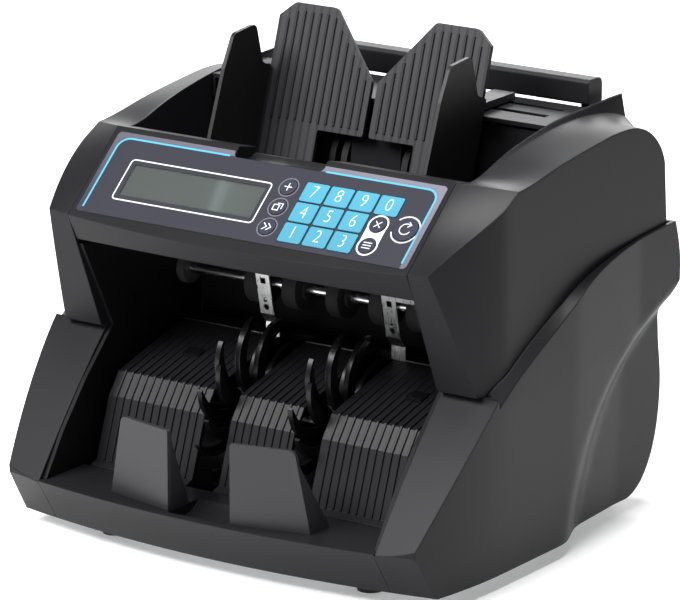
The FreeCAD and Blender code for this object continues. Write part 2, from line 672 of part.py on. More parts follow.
def exit_rollers():
    """Five rubber rollers on the exit shaft, each with a narrow hub."""
    solids = []
    for middle, half in ((-54, 5), (-29, 4.5), (0, 4), (29, 4.5), (54, 5)):
        tyre = wheel(EXIT, EXIT_ROLLER_R, SHAFT_R, middle - half, middle + half)
        hub = wheel(EXIT, 6, SHAFT_R, middle - half - 1.5, middle + half + 1.5)
        solids.append(fused([tyre, hub]))
    return Part.makeCompound(solids)


def feed_rollers():
    """Four rubber feed discs, in pairs."""
    places = [(side * x - 2, side * x + 2) for side in (-1, 1) for x in (20, 28)]
    return Part.makeCompound([wheel(FEED, FEED_ROLLER_R, FEED_SHAFT_R, x0, x1) for x0, x1 in places])


def pulley(axis, name, bore):
    radius = PULLEY_R[name]
    x0, x1 = PULLEY_X
    rims = [wheel(axis, radius + 2.4, bore, x0, x0 + 0.6), wheel(axis, radius + 2.4, bore, x1 - 0.6, x1)]
    return fused([wheel(axis, radius, bore, x0, x1)] + rims)


def polar(radius, degrees, x):
    angle = math.radians(degrees)
    return V(x, STACKER[0] + radius * math.cos(angle), STACKER[1] + radius * math.sin(angle))


def blade(angle, x0, x1):
    """Curved pointed blade of a stacker wheel; its tip trails the rotation."""
    leading = ((12, 0), (25, 7), (38, 19), (WHEEL_R, 38))
    trailing = ((WHEEL_R - 0.4, 39.4), (37, 29), (25, 24), (12, 30))
    ahead = [polar(radius, angle - lag, x0) for radius, lag in leading]
    behind = [polar(radius, angle - lag, x0) for radius, lag in trailing]
    front = Part.BSplineCurve()
    front.interpolate(ahead)
    back = Part.BSplineCurve()
    back.interpolate(behind)
    edges = [front.toShape(), Part.makeLine(ahead[-1], behind[0]), back.toShape()]
    edges.append(Part.makeLine(behind[-1], ahead[0]))
    return Part.Face(Part.Wire(edges)).extrude(V(x1 - x0, 0, 0))


def stacker_wheel(side):
    """Two offset rings of blades on one hub."""
    x0, x1 = sorted((side * WHEEL_X[0], side * WHEEL_X[1]))
    parts = [wheel(STACKER, 14, SHAFT_R, x0, x1)]
    for ring, start in enumerate((x0 + 1, x0 + 8)):
        for i in range(BLADES):
            parts.append(blade(195.5 + (i + ring / 2) * 360 / BLADES, start, start + 3))
    return fused(parts).cut(cyl_x(STACKER, SHAFT_R, x0 - 1, x1 + 1))


def separator_pad():
    """Rubber pad that lets one note through at a time, on its steel bracket."""
    bracket = box(-10, 10, GUIDE_PLATE_Y[1], 42, 155, 158)
    pad = box(-12, 12, 42, 48, 153, 170)
    return Part.makeCompound([bracket, pad])


# ---------------------------------------------------------------- hopper

def hopper_tray():
    """Hopper floor and walls, with windows for the feed rollers and the gap that the notes leave by."""
    points = [(-29.5, 206), (-27.2, 175.4), (40.3, 162.8), (46.9, 226)]
    points += [(44.5, 226), (38, 166), (-24.7, 178), (-27, 206)]
    tray = extruded(points, -108.2, 108.2)
    for side in (-1, 1):
        x0, x1 = sorted((side * 16.5, side * 31.5))
        tray = tray.cut(box(x0, x1, 34, 50, 171, 214))
    tray = tray.cut(box(-95, 95, 35, 50, 160, 168.5))
    crest = [(-24, 177.8), (34, 166.6), (34, 168), (-24, 179.2)]
    ribs = [extruded(crest, x - 1, x + 1) for x in range(-96, 97, 16)]
    return fused([tray] + ribs)


def guide():
    """Right note guide: ribbed plate, side wall, arm over the rail and tongues through its slots."""
    points = [(GUIDE_INNER, 0), (GUIDE_INNER, 31), (33, 68.3), (60.5, 68.3), (GUIDE_OUTER + 0.2, 60)]
    points += [(GUIDE_OUTER + 0.2, -35), (32, -35), (32, 0)]
    face = rounded_face(points, [1.5, 3, 4, 5, 0, 0, 3, 1], lambda p: V(p.x, 0, p.y))
    plate = face.extrude(V(0, GUIDE_THICK, 0))
    ribs = []
    for i in range(12):
        x = 6.5 + i * 5.2
        top = min(31 + (x - 2) * 1.2 - 5, 64.0, 64.0 - (x - 58) * 0.9)
        ribs.append(box(x - 0.7, x + 0.7, -0.8, 0.5, 3.5, top))
    plate = fused([plate] + ribs)
    plate.rotate(V(0, 0, 0), V(1, 0, 0), -GUIDE_TILT)
    plate.translate(V(0, GUIDE_FOOT[0], GUIDE_FOOT[1]))
    corners = [(-23, 183), (-17, 210), (-3, 247), (6.5, 265), (27, 267), (33, 244)]
    corners += [(41.5, 240.5), (32, 211), (22, 180)]
    wall = rounded_face(corners, [2, 8, 10, 5, 4, 3, 1, 0, 2], lambda p: V(GUIDE_OUTER, p.x, p.y))
    side = wall.extrude(V(2.4, 0, 0))
    arm = box(52, 66, 39.3, 80, 232, 236)
    tongues = [box(56, 62, y0 + 0.6, y1 - 0.6, 223.5, 232.5) for y0, y1 in SLOTS_Y]
    foot = box(50, 68, 52, 70, 223.5, 226)
    return fused([plate, side, arm, foot] + tongues)


def cross_rail():
    """Bridge over the feed rollers that the guides slide on, with a hole for the gap knob."""
    rail = box(-110.7, 110.7, RAIL_Y[0], RAIL_Y[1], RAIL_Z[0], RAIL_Z[1])
    ends = [box(side * 109.7 - 1, side * 109.7 + 1, RAIL_Y[0], 86, 218, RAIL_Z[1]) for side in (-1, 1)]
    rail = fused([rail] + ends)
    for y0, y1 in SLOTS_Y:
        for side in (-1, 1):
            x0, x1 = sorted((side * 45, side * 99.5))
            rail = rail.cut(box(x0, x1, y0, y1, RAIL_Z[0] - 1, RAIL_Z[1] + 1))
    return rail.cut(cyl_z(0, KNOB_Y, 3.06, RAIL_Z[0] - 1, RAIL_Z[1] + 1))


def gap_knob():
    """Fluted knob that sets the feed gap; its shank turns in the rail."""
    head = cyl_z(0, KNOB_Y, 9, RAIL_Z[1] + 0.5, RAIL_Z[1] + 9)
    for i in range(12):
        angle = math.radians(i * 30)
        head = head.cut(cyl_z(9.8 * math.cos(angle), KNOB_Y + 9.8 * math.sin(angle), 1.6, 230, 245))
    mark = box(-0.6, 0.6, KNOB_Y + 2, KNOB_Y + 7.5, RAIL_Z[1] + 8.4, RAIL_Z[1] + 9.5)
    return fused([head.cut(mark), cyl_z(0, KNOB_Y, 3.0, 222, RAIL_Z[1] + 2)])


# ---------------------------------------------------------------- back

def carry_handle():
    """Bar across the back with a leg at each end and a post into the rear cover."""
    corners = [(94, 231), (108, 231), (108, 245), (94, 245)]
    face = rounded_face(corners, [1.5, 1.5, 4, 2.5], lambda p: V(-HANDLE_HALF, p.x, p.y))
    bar = face.extrude(V(2 * HANDLE_HALF, 0, 0))
    legs = [box(side * HANDLE_LEG - 4, side * HANDLE_LEG + 4, 100, 108, 213, 238) for side in (-1, 1)]
    posts = [cyl_z(side * HANDLE_LEG, 104, 3.0, 202, 214) for side in (-1, 1)]
    return fused([bar] + legs + posts)


def rear_cover():
    """Back wall, deck and lip behind the rail, with vents and the cut-out of the inlet."""
    points = [(124, 11), (124, 205), (99, 212), (91, 228), (89, 227), (97, 210), (121.5, 202.5), (121.5, 11)]
    cover = extruded(points, -110.5, 110.5)
    for i in range(15):
        x = -63 + i * 9
        cover = cover.cut(box(x - 1.5, x + 1.5, 120, 126, 120, 165))
    x0, x1, z0, z1 = INLET_BODY
    cover = cover.cut(box(x0 - 0.2, x1 + 0.2, 120, 126, z0 - 0.2, z1 + 0.2))
    for side in (-1, 1):
        cover = cover.cut(cyl_z(side * HANDLE_LEG, 104, 3.2, 200, 216))
    return cover


def power_inlet():
    """Mains inlet with three pins and, beside it, the frame of the power switch."""
    x0, x1, z0, z1 = INLET_BODY
    flange = box(x0 - 3.3, x1 + 3.3, 124, 126.5, z0 - 3.3, z1 + 3.3)
    body = fused([box(x0, x1, 104, 125, z0, z1), flange])
    corners = [(-84, 31.5), (-58, 31.5), (-58, 45), (-62, 48.5), (-80, 48.5), (-84, 45)]
    socket = Part.Face(Part.makePolygon([V(x, 108, z) for x, z in corners + corners[:1]]))
    body = body.cut(socket.extrude(V(0, 20, 0)))
    middle = ROCKER_AXIS[1]
    body = body.cut(box(ROCKER_X - 6.5, ROCKER_X + 6.5, 112.5, 128, middle - 10.2, middle + 10.2))
    body = body.cut(cyl_x(ROCKER_AXIS, 1.26, ROCKER_X - 7.8, ROCKER_X + 7.8))
    pins = [box(x - 1, x + 1, 107, 121, 38, 42) for x in (-78, -71, -64)]
    return fused([body] + pins)


def power_rocker():
    """Rocker of the power switch, off side pressed, on two trunnions."""
    y, z = ROCKER_AXIS
    block = box(ROCKER_X - 6, ROCKER_X + 6, y - 5, y + 3.2, z - 8.8, z + 8.8)
    block = fused([block, cyl_x(ROCKER_AXIS, 1.2, ROCKER_X - 7.5, ROCKER_X + 7.5)])
    block.rotate(V(0, y, z), V(1, 0, 0), -ROCKER_SWING / 2)
    return block


# ---------------------------------------------------------------- drive

def side_frame(holes_for):
    """Right steel frame that carries the bushes, with a foot on the bottom plate."""
    points = [(-50, PAN_TOP), (100, PAN_TOP), (100, 188), (84, 206), (4, 198), (-20, 150), (-50, 98)]
    plate = extruded(points, FRAME_X[0], FRAME_X[1])
    foot = box(104, FRAME_X[1], -45, 95, PAN_TOP, PAN_TOP + 1.6)
    frame = fused([plate, foot])
    for axis, radius in holes_for:
        frame = frame.cut(cyl_x(axis, radius, FRAME_X[0] - 1, FRAME_X[1] + 1))
    return frame


def side_frames():
    bushes = [(axis, BUSH_R + 0.15) for axis in (FEED, EXIT, STACKER)]
    left = mirrored(side_frame(bushes + [(MOTOR, 10.0)]))
    return Part.makeCompound([side_frame(bushes), left])


def shaft_bushes():
    """Plain bushes of the three shafts; the exit shaft's have a collar inside the mouth."""
    solids = []
    bores = ((FEED, FEED_SHAFT_R, 109.0), (EXIT, SHAFT_R, 103.0), (STACKER, SHAFT_R, 106.0))
    for axis, radius, inner in bores:
        bush = cyl_x(axis, BUSH_R, inner, 117)
        if axis == EXIT:
            bush = fused([bush, cyl_x(axis, BUSH_R + 2, inner, CHEEK_X[0] - 0.1)])
        solids.append(bush.cut(cyl_x(axis, radius + RUNNING, inner - 1, 118)))
    return both_sides(solids)


def drive_motor():
    """Round motor bolted to the left frame, with its boss through it and a vented end cap."""
    can = cyl_x(MOTOR, 25, -112, -56)
    cap = cyl_x(MOTOR, 22, -56, -50)
    motor = fused([can, cap, cyl_x(MOTOR, 9.5, -114.5, -112), cyl_x(MOTOR, 14, -114, -112)])
    bore = cyl_x(MOTOR, 2.56, -115, -98)
    return motor.cut(bore)


def motor_pulley():
    return fused([pulley(MOTOR, "motor", 2.5), cyl_x(MOTOR, 2.5, SHAFT_X[0], -99)])


def belt_wire(outside):
    """Loop round the four pulleys at the given distance from their rims."""
    ring = [(MOTOR, "motor"), (FEED, "feed"), (EXIT, "exit"), (STACKER, "stacker")]
    ring = [(axis, PULLEY_R[name] + outside) for axis, name in ring]
    runs = []
    for i, (a, ra) in enumerate(ring):
        b, rb = ring[(i + 1) % len(ring)]
        dy, dz = b[0] - a[0], b[1] - a[1]
        length = math.hypot(dy, dz)
        angle = math.atan2(dz, dy) - math.pi / 2 + math.asin((ra - rb) / length)
        runs.append(angle)
    edges = []
    for i, (c, r) in enumerate(ring):
        start, end = runs[i - 1], runs[i]
        while end < start:
            end += 2 * math.pi
        turns = (start, (start + end) / 2, end)
        spots = [V(BELT_X[0], c[0] + r * math.cos(t), c[1] + r * math.sin(t)) for t in turns]
        following, reach = ring[(i + 1) % len(ring)]
        meets = V(BELT_X[0], following[0] + reach * math.cos(end), following[1] + reach * math.sin(end))
        edges.append(Part.Arc(spots[0], spots[1], spots[2]).toShape())
        edges.append(Part.makeLine(spots[2], meets))
    return Part.Wire(edges)


def drive_belt():
    outer = Part.Face(belt_wire(BELT_GAP + BELT_THICK)).extrude(V(BELT_X[1] - BELT_X[0], 0, 0))
    inner = Part.Face(belt_wire(BELT_GAP)).extrude(V(BELT_X[1] - BELT_X[0], 0, 0))
    return outer.cut(inner)


def power_supply():
    """Closed power supply box with a terminal block on its left side."""
    cage = box(10, 78, 45, 105, PAN_TOP, 52)
    return fused([cage, box(4, 10, 50, 100, PAN_TOP, 26)])


def main_board():
    """Main circuit board on four posts over the power supply."""
    board = box(12, 76, 47, 103, 60, 61.6)
    posts = [cyl_z(x, y, 2.5, 52, 60) for x in (17, 71) for y in (52, 98)]
    fins = [box(x, x + 1.5, 60, 64, 64, 78) for x in range(22, 50, 5)]
    sink = fused([box(22, 50, 60, 64, 61.6, 64)] + fins)
    cans = [cyl_z(x, 85, 5, 61.6, 76) for x in (30, 45, 60)]
    plug = box(54, 72, 54, 60, 61.6, 70)
    return fused([board, sink, plug] + posts + cans)


def save(name, shape):
    shape.exportStep(os.path.join("parts", name + ".step"))


def save_pair(name, right):
    save(name + "_right", right)
    save(name + "_left", mirrored(right))


def main():
    os.makedirs("parts", exist_ok=True)
    save_pair("upper_cover", upper_cover())
    save_pair("lower_shell", lower_shell())
    save("front_band", front_band())
    save("base_pan", base_pan())
    save("feet", feet())
    save("base_screws", base_screws())
    save("stoppers", both_sides([stopper()]))
    save("front_bezel", front_bezel())
    save("panel_overlay", panel_overlay())
    save("display_window", display_window())
    save("display_module", display_module())
    save("control_board", control_board())
    for name, x, s, radius in key_places():
        save("key_" + name, key_cap(x, s, radius))
    save("mouth_cheeks", both_sides([mouth_cheek()]))
    save("note_guide", note_guide())
    save("tray_panels", tray_panels())
    save("leaf_strips", leaf_strips())
    save("exit_shaft", shaft(EXIT, SHAFT_R))
    save("exit_rollers", exit_rollers())
    save("exit_pulley", pulley(EXIT, "exit", SHAFT_R))
    save("stacker_shaft", shaft(STACKER, SHAFT_R))
    save("stacker_wheels", Part.makeCompound([stacker_wheel(-1), stacker_wheel(1)]))
    save("stacker_pulley", pulley(STACKER, "stacker", SHAFT_R))
    save("feed_shaft", shaft(FEED, FEED_SHAFT_R))
    save("feed_rollers", feed_rollers())
    save("feed_pulley", pulley(FEED, "feed", FEED_SHAFT_R))
    save("separator_pad", separator_pad())
    save("hopper_tray", hopper_tray())
    save_pair("guide", guide())
    save("cross_rail", cross_rail())
    save("gap_knob", gap_knob())
    save("carry_handle", carry_handle())
    save("rear_cover", rear_cover())
    save("power_inlet", power_inlet())
    save("power_rocker", power_rocker())
    save("side_frames", side_frames())
    save("shaft_bushes", shaft_bushes())
    save("drive_motor", drive_motor())
    save("motor_pulley", motor_pulley())
    save("drive_belt", drive_belt())
    save("power_supply", power_supply())
    save("main_board", main_board())


main()
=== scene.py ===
import math

import bmesh
import bpy
from mathutils import Matrix, Vector


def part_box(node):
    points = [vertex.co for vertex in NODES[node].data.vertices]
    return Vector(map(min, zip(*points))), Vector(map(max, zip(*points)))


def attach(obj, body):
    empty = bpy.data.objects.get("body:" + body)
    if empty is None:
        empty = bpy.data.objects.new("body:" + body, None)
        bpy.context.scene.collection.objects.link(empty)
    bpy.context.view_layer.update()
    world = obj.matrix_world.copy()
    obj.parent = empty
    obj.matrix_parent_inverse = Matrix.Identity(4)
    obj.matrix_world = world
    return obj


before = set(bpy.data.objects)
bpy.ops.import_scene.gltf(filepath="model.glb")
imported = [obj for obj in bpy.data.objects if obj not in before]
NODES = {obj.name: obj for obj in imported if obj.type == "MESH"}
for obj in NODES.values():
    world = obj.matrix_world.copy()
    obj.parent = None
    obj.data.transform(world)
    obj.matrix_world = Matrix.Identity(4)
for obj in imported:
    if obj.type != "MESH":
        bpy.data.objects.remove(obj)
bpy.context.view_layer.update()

bl_info = {
    "name": "Banknote Counter Finisher",
    "version": (1, 0, 0),
    "blender": (4, 5, 0),
    "location": "View3D > Sidebar > Counter",
    "description": "Finishes, printed panel, small fittings and studio for a banknote counting machine",
    "category": "Object",
}

MM = 0.001

# The control panel rises 40 for every 46 it runs back. Its own axes are X, up the slope, and outwards.
TILT = math.atan2(40, 46)
SHEET_MM = 0.8
PANEL_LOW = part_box("panel_overlay")[0]
UP_SLOPE = Vector((0, math.cos(TILT), math.sin(TILT)))
OUTWARD = Vector((0, -math.sin(TILT), math.cos(TILT)))
PANEL_ORIGIN = Vector((0, PANEL_LOW.y, PANEL_LOW.z + SHEET_MM * MM * math.cos(TILT)))
PANEL = Matrix((
    (1, UP_SLOPE.x, OUTWARD.x, PANEL_ORIGIN.x),
    (0, UP_SLOPE.y, OUTWARD.y, PANEL_ORIGIN.y),
    (0, UP_SLOPE.z, OUTWARD.z, PANEL_ORIGIN.z),
    (0, 0, 0, 1),
))
SHEET_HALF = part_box("panel_overlay")[1].x / MM
SHEET_LENGTH = 54.3
DIGITS = [f"key_{i}" for i in range(10)]
ROUND_KEYS = ["key_add", "key_density", "key_speed", "key_clear", "key_batch", "key_restart"]
KEY_FACE_MM = 2.47  # a key's face above the middle of its box
RIB_FIRST_MM = 6.5
RIB_PITCH_MM = 5.2
GUIDE_WALL_MM = 69.6
CELL_PITCH = 0.0008  # dots of the display, metres
BORDER_MM = 3.6  # from the sheet's edge to the blue line
LINE_CORNER_MM = 7.0
NOTCH_MM = 31.5  # half the gap in the blue line at the finger notch
RING_MM = 5.8
CAPSULE_MM = 6.1
CRESCENT_MM = 8.3
BACK_SCREWS_X = (-100.0, 100.0)
BACK_SCREWS_Z = (20.0, 110.0, 195.0)
SWITCH_AXIS_MM = (-44.0, 123.5, 40.0)
STRIP_RIVET_MM = (42.0, -4.3, 120.6)
STRIP_LEAN = math.radians(78.2)
CAMERA_AZIMUTH, CAMERA_ELEVATION = 34.79, 15.63
CAMERA_SPOT = (1.5078, -2.1633, 0.8636)
LIGHTS = (
    ("back_softbox", (-0.5, 1.3, 0.85), (1.1, 0.4), 12),
    ("top_softbox", (0.12, 0.0, 1.5), (0.7, 0.5), 30),
    ("low_back_light", (-1.5, 2.4, 0.4), (3.2, 0.75), 20),
    ("right_strip", (1.3, 0.55, 0.6), (0.3, 1.2), 0.6),
    ("front_fill", (-0.7, -1.35, 1.5), (1.2, 0.9), 60),
)


# ------------------------------------------------------------------ shader maths

class Signal:
    """One output of a shader node. Python's operators on it add Math nodes."""

    def __init__(self, paint, socket):
        self.paint = paint
        self.socket = socket

    def maths(self, operation, *others):
        values = dict(enumerate((self,) + others))
        return self.paint.node("Math", {"operation": operation}, values)

    def __add__(self, other):
        return self.maths("ADD", other)

    def __radd__(self, other):
        return self + other

    def __sub__(self, other):
        return self.maths("SUBTRACT", other)

    def __rsub__(self, other):
        return self.paint.node("Math", {"operation": "SUBTRACT"}, {0: other, 1: self})

    def __mul__(self, other):
        return self.maths("MULTIPLY", other)

    def __rmul__(self, other):
        return self * other

    def __truediv__(self, other):
        return self.maths("DIVIDE", other)

    def __abs__(self):
        return self.maths("ABSOLUTE")

    def above(self, level, soft=0.0001):
        """0 below the level, 1 above it, with a soft step."""
        return ((self - level) / soft + 0.5).maths("MAXIMUM", 0.0).maths("MINIMUM", 1.0)

    def larger(self, other):
        return self.maths("MAXIMUM", other)


class Paint:
    """One material and its nodes."""

    def __init__(self, name, **constants):
        self.material = bpy.data.materials.new(name)
        self.material.use_nodes = True
        self.tree = self.material.node_tree
        self.shader = self.tree.nodes["Principled BSDF"]
        for socket, value in constants.items():
            self.shader.inputs[socket.replace("_", " ")].default_value = value

    def node(self, kind, settings=None, inputs=None, output=0):
        made = self.tree.nodes.new("ShaderNode" + kind)
        for name, value in (settings or {}).items():
            if name == "stops":
                self.set_stops(made.color_ramp, value)
            else:
                setattr(made, name, value)
        for name, value in (inputs or {}).items():
            self.feed(made.inputs[name], value)
        return Signal(self, made.outputs[output])

    def set_stops(self, ramp, stops):
        while len(ramp.elements) < len(stops):
            ramp.elements.new(1.0)
        for element, (position, colour) in zip(ramp.elements, stops):
            element.position = position
            element.color = (*colour[:3], 1)

    def feed(self, socket, value):
        if isinstance(value, Signal):
            self.tree.links.new(value.socket, socket)
        else:
            socket.default_value = value

    def set(self, socket, value):
        self.feed(self.shader.inputs[socket], value)

    def place(self):
        """Position in the machine's own frame, in metres, as three signals."""
        vector = self.node("TexCoord", output="Object")
        parts = self.tree.nodes.new("ShaderNodeSeparateXYZ")
        self.tree.links.new(vector.socket, parts.inputs[0])
        return [Signal(self, parts.outputs[i]) for i in range(3)]

    def noise(self, scale, detail=2.0, vector=None):
        inputs = {"Scale": scale, "Detail": detail}
        inputs["Vector"] = vector or self.node("TexCoord", output="Object")
        return self.node("TexNoise", None, inputs)

    def stretched(self, scale):
        vector = self.node("TexCoord", output="Object")
        return self.node("Mapping", None, {"Vector": vector, "Scale": scale})

    def mix(self, share, first, second):
        """Colour that goes from the first to the second as share goes from 0 to 1."""
        inputs = {"Factor": share, 6: first, 7: second}
        return self.node("Mix", {"data_type": "RGBA"}, inputs, 2)

    def relief(self, height, strength, depth, rounding=0.0):
        inputs = {"Height": height, "Strength": strength, "Distance": depth}
        if rounding:
            inputs["Normal"] = self.node("Bevel", {"samples": 4}, {"Radius": rounding})
        self.set("Normal", self.node("Bump", None, inputs))


def shade(colour, factor):
    return (*[min(1.0, c * factor) for c in colour[:3]], 1)


def moulded(name, colour, rough, grain=1500.0, relief=0.12, rounding=0.0007, coat=0.0, gloss=0.105):
    """Satin moulded plastic: fine spark-eroded grain, faint cloudiness, softened edges."""
    paint = Paint(name, Specular_IOR_Level=gloss, Coat_Weight=coat, Coat_Roughness=0.25)
    cloud = paint.noise(14.0, 3.0)
    fine = paint.noise(grain, 2.0)
    paint.set("Base Color", paint.mix(cloud, shade(colour, 0.85), shade(colour, 1.18)))
    paint.set("Roughness", rough - 0.03 + 0.06 * cloud + 0.04 * fine)
    paint.relief(fine, relief, 0.00012, rounding)
    return paint.material


def ribbed(name, colours):
    """Guide plate: satin grey between dark lines of painted shade, laid on the ribs for the shade of
    grooves; the wall outside the plate is dark too.
    """
    paint = Paint(name, Specular_IOR_Level=0.3)
    across = abs(paint.place()[0]) / MM
    fine = paint.noise(1500.0, 2.0)
    # Painted shade: dark stripes along the ribs stand in for the shade in grooves; the mask is 1 on the
    # plate clear of them.
    between = abs(((across - RIB_FIRST_MM) / RIB_PITCH_MM + 0.5).maths("FRACT") - 0.5).above(0.15, 0.04)
    plate = 1.0 - across.above(GUIDE_WALL_MM, 0.1)
    paint.set("Base Color", paint.mix(between * plate, shade(colours.shell, 0.6), colours.plate))
    paint.set("Roughness", 0.42 + 0.06 * fine)
    paint.relief(fine, 0.12, 0.00012, 0.0005)
    return paint.material


def metal(name, colour, rough, along=(30.0, 900.0, 900.0)):
    """Drawn or ground steel: fine lines along its length."""
    paint = Paint(name, Metallic=1.0)
    lines = paint.noise(1.0, 3.0, paint.stretched(along))
    paint.set("Base Color", paint.mix(lines, shade(colour, 0.86), shade(colour, 1.1)))
    paint.set("Roughness", rough - 0.06 + 0.14 * lines)
    paint.relief(lines, 0.08, 0.00008, 0.0002)
    return paint.material


def rubber(name, colour, rough=0.72):
    """Matt rubber with a dusty, slightly pitted surface."""
    paint = Paint(name, Specular_IOR_Level=0.35)
    dust = paint.noise(60.0, 4.0)
    pits = paint.noise(2200.0, 2.0)
    paint.set("Base Color", paint.mix(dust, shade(colour, 0.8), shade(colour, 1.9)))
    paint.set("Roughness", rough + 0.1 * dust)
    paint.relief(pits, 0.2, 0.0001, 0.0004)
    return paint.material


def ink(name, colour, rough=0.35):
    """Screen-printed ink with a little unevenness."""
    paint = Paint(name)
    blots = paint.noise(900.0, 2.0)
    paint.set("Base Color", paint.mix(blots, shade(colour, 0.94), shade(colour, 1.04)))
    paint.set("Roughness", rough + 0.08 * blots)
    return paint.material


def printed_sheet(name, colours):
    """The panel's polyester sheet: dark face and a paler graded border outside the blue line."""
    paint = Paint(name, Specular_IOR_Level=0.3)
    x, y, z = paint.place()
    across = abs(x) / MM
    up = ((y - PANEL_ORIGIN.y) * math.cos(TILT) + (z - PANEL_ORIGIN.z) * math.sin(TILT)) / MM
    corner = LINE_CORNER_MM
    beyond_side = (across - (SHEET_HALF - BORDER_MM - corner)).larger(0.0)
    beyond_top = (up - (SHEET_LENGTH - BORDER_MM - corner)).larger(0.0)
    outside = (beyond_side * beyond_side + beyond_top * beyond_top).maths("SQRT").above(corner, 0.3)
    grade = (x / (MM * 330.0) + up / 110.0 + 0.25).maths("MINIMUM", 1.0)
    dots = paint.noise(2500.0, 1.0)
    border = paint.mix(grade + 0.25 * dots - 0.1, shade(colours.sheet, 1.3), colours.border)
    cloud = paint.noise(9.0, 2.0)
    face = paint.mix(cloud, shade(colours.sheet, 0.9), shade(colours.sheet, 1.12))
    paint.set("Base Color", paint.mix(outside, face, border))
    paint.set("Roughness", 0.36 + 0.06 * cloud)
    paint.relief(paint.noise(1800.0, 1.0), 0.05, 0.00006, 0.0002)
    return paint.material


def display_cell(name, colours):
    """Reflective display cell with a painted highlight: a soft bright band painted across its colour."""
    low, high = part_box("display_module")
    paint = Paint(name, Specular_IOR_Level=0.3)
    x, _, z = paint.place()
    along = (x - low.x) / (high.x - low.x)
    up = (z - low.z) / (high.z - low.z)
    # Painted highlight: the pale tone and the ramp below paint a soft bright band across the cell.
    dark, highlight_colour = colours.display, shade(colours.display, 2.8)
    stops = (
        (0.0, shade(dark, 0.92)), (0.5, dark), (0.66, shade(dark, 1.1)),
        (0.72, highlight_colour), (0.8, shade(dark, 1.35)), (1.0, shade(dark, 1.05)),
    )
    highlight_band = paint.node("ValToRGB", {"stops": stops}, {0: along + 0.05 * up})
    column, row = [abs((place / CELL_PITCH).maths("FRACT") - 0.5) for place in (x, z)]
    cells = column.larger(row).above(0.46, 0.05)
    paint.set("Base Color", paint.mix(0.06 * cells, highlight_band, shade(dark, 0.5)))
    paint.set("Roughness", 0.28 + 0.1 * paint.noise(30.0))
    return paint.material


def window(name):
    """Clear hard-coated window over the display."""
    paint = Paint(name, Alpha=0.08, Base_Color=(0.2, 0.22, 0.21, 1), Coat_Weight=0.1)
    paint.set("Roughness", 0.06 + 0.05 * paint.noise(40.0))
    return paint.material


def key_blue(name, colour):
    """Blue key caps, with painted light: a little paler towards the top of the keypad."""
    paint = Paint(name, Specular_IOR_Level=0.5)
    z = paint.place()[2]
    low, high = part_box("key_1")[0].z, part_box("key_0")[1].z
    # Painted light: the blue turns paler up the keypad.
    painted_light_rise = (z - low) / (high - low)
    paint.set("Base Color", paint.mix(painted_light_rise, shade(colour, 0.95), shade(colour, 1.12)))
    paint.set("Roughness", 0.38 + 0.08 * paint.noise(700.0))
    paint.relief(paint.noise(1400.0), 0.06, 0.00008, 0.0004)
    return paint.material


def circuit(name, colour):
    """Green board with paler tracks under its lacquer."""
    paint = Paint(name, Coat_Weight=0.3)
    x, y, _ = paint.place()
    track = abs(((x + 0.3 * y) / 0.004).maths("FRACT") - 0.5).above(0.42, 0.03)
    patch = paint.noise(90.0).above(0.5, 0.05)
    paint.set("Base Color", paint.mix(track * patch, colour, shade(colour, 2.2)))
    paint.set("Roughness", 0.35 + 0.1 * patch)
    return paint.material


# ------------------------------------------------------------------ mesh making

def rounded_path(x0, x1, y0, y1, radius, steps=6):
    """Corners of a rounded rectangle, counter-clockwise from its lower left."""
    path = []
    for cx, cy, start in ((x0 + radius, y0 + radius, 180), (x1 - radius, y0 + radius, 270),
                          (x1 - radius, y1 - radius, 0), (x0 + radius, y1 - radius, 90)):
        for i in range(steps + 1):
            angle = math.radians(start + 90 * i / steps)
            path.append((cx + radius * math.cos(angle), cy + radius * math.sin(angle)))
    return path


def rectangle(x0, x1, y0, y1):
    """Corners of a rectangle, counter-clockwise from its lower left."""
    return [(x0, y0), (x1, y0), (x1, y1), (x0, y1)]


def circle(x, y, radius, steps=40, start=0.0, sweep=360.0):
    count = steps if sweep == 360.0 else steps + 1
    angles = [math.radians(start + sweep * i / steps) for i in range(count)]
    return [(x + radius * math.cos(a), y + radius * math.sin(a)) for a in angles]


def offset_path(path, distance, closed):
    """The path moved sideways, to its right for a positive distance."""
    moved = []
    for i, point in enumerate(path):
        before = path[i - 1] if i or closed else point
        after = path[(i + 1) % len(path)] if closed or i + 1 < len(path) else point
        run = Vector((point[0] - before[0], point[1] - before[1]))
        turn = Vector((after[0] - point[0], after[1] - point[1]))
        run = run.normalized() if run.length > 1e-6 else turn.normalized()
        turn = turn.normalized() if turn.length > 1e-6 else run
        normal = Vector((run.y + turn.y, -run.x - turn.x)).normalized()
        reach = distance / max(0.4, normal.dot(Vector((run.y, -run.x))))
        moved.append((point[0] + normal.x * reach, point[1] + normal.y * reach))
    return moved


def add_solid(mesh, outline, low, high):
    """Closed plate between two heights."""
    under = [mesh.verts.new((x, y, low)) for x, y in outline]
    over = [mesh.verts.new((x, y, high)) for x, y in outline]
    mesh.faces.new(over)
    mesh.faces.new(under[::-1])
    for i in range(len(outline)):
        j = (i + 1) % len(outline)
        mesh.faces.new((under[i], under[j], over[j], over[i]))


def add_band(mesh, path, width, low, high, closed):
    """Closed strip of even width along a path."""
    sides = [offset_path(path, width / 2, closed), offset_path(path, -width / 2, closed)]
    rows = [[mesh.verts.new((x, y, z)) for x, y in side] for side in sides for z in (low, high)]
    order = (rows[0], rows[1], rows[3], rows[2])
    last = len(path) if closed else len(path) - 1
    for i in range(last):
        j = (i + 1) % len(path)
        for a, b in zip(order, order[1:] + order[:1]):
            mesh.faces.new((a[i], a[j], b[j], b[i]))
    if not closed:
        mesh.faces.new([row[0] for row in order])
        mesh.faces.new([row[-1] for row in order[::-1]])


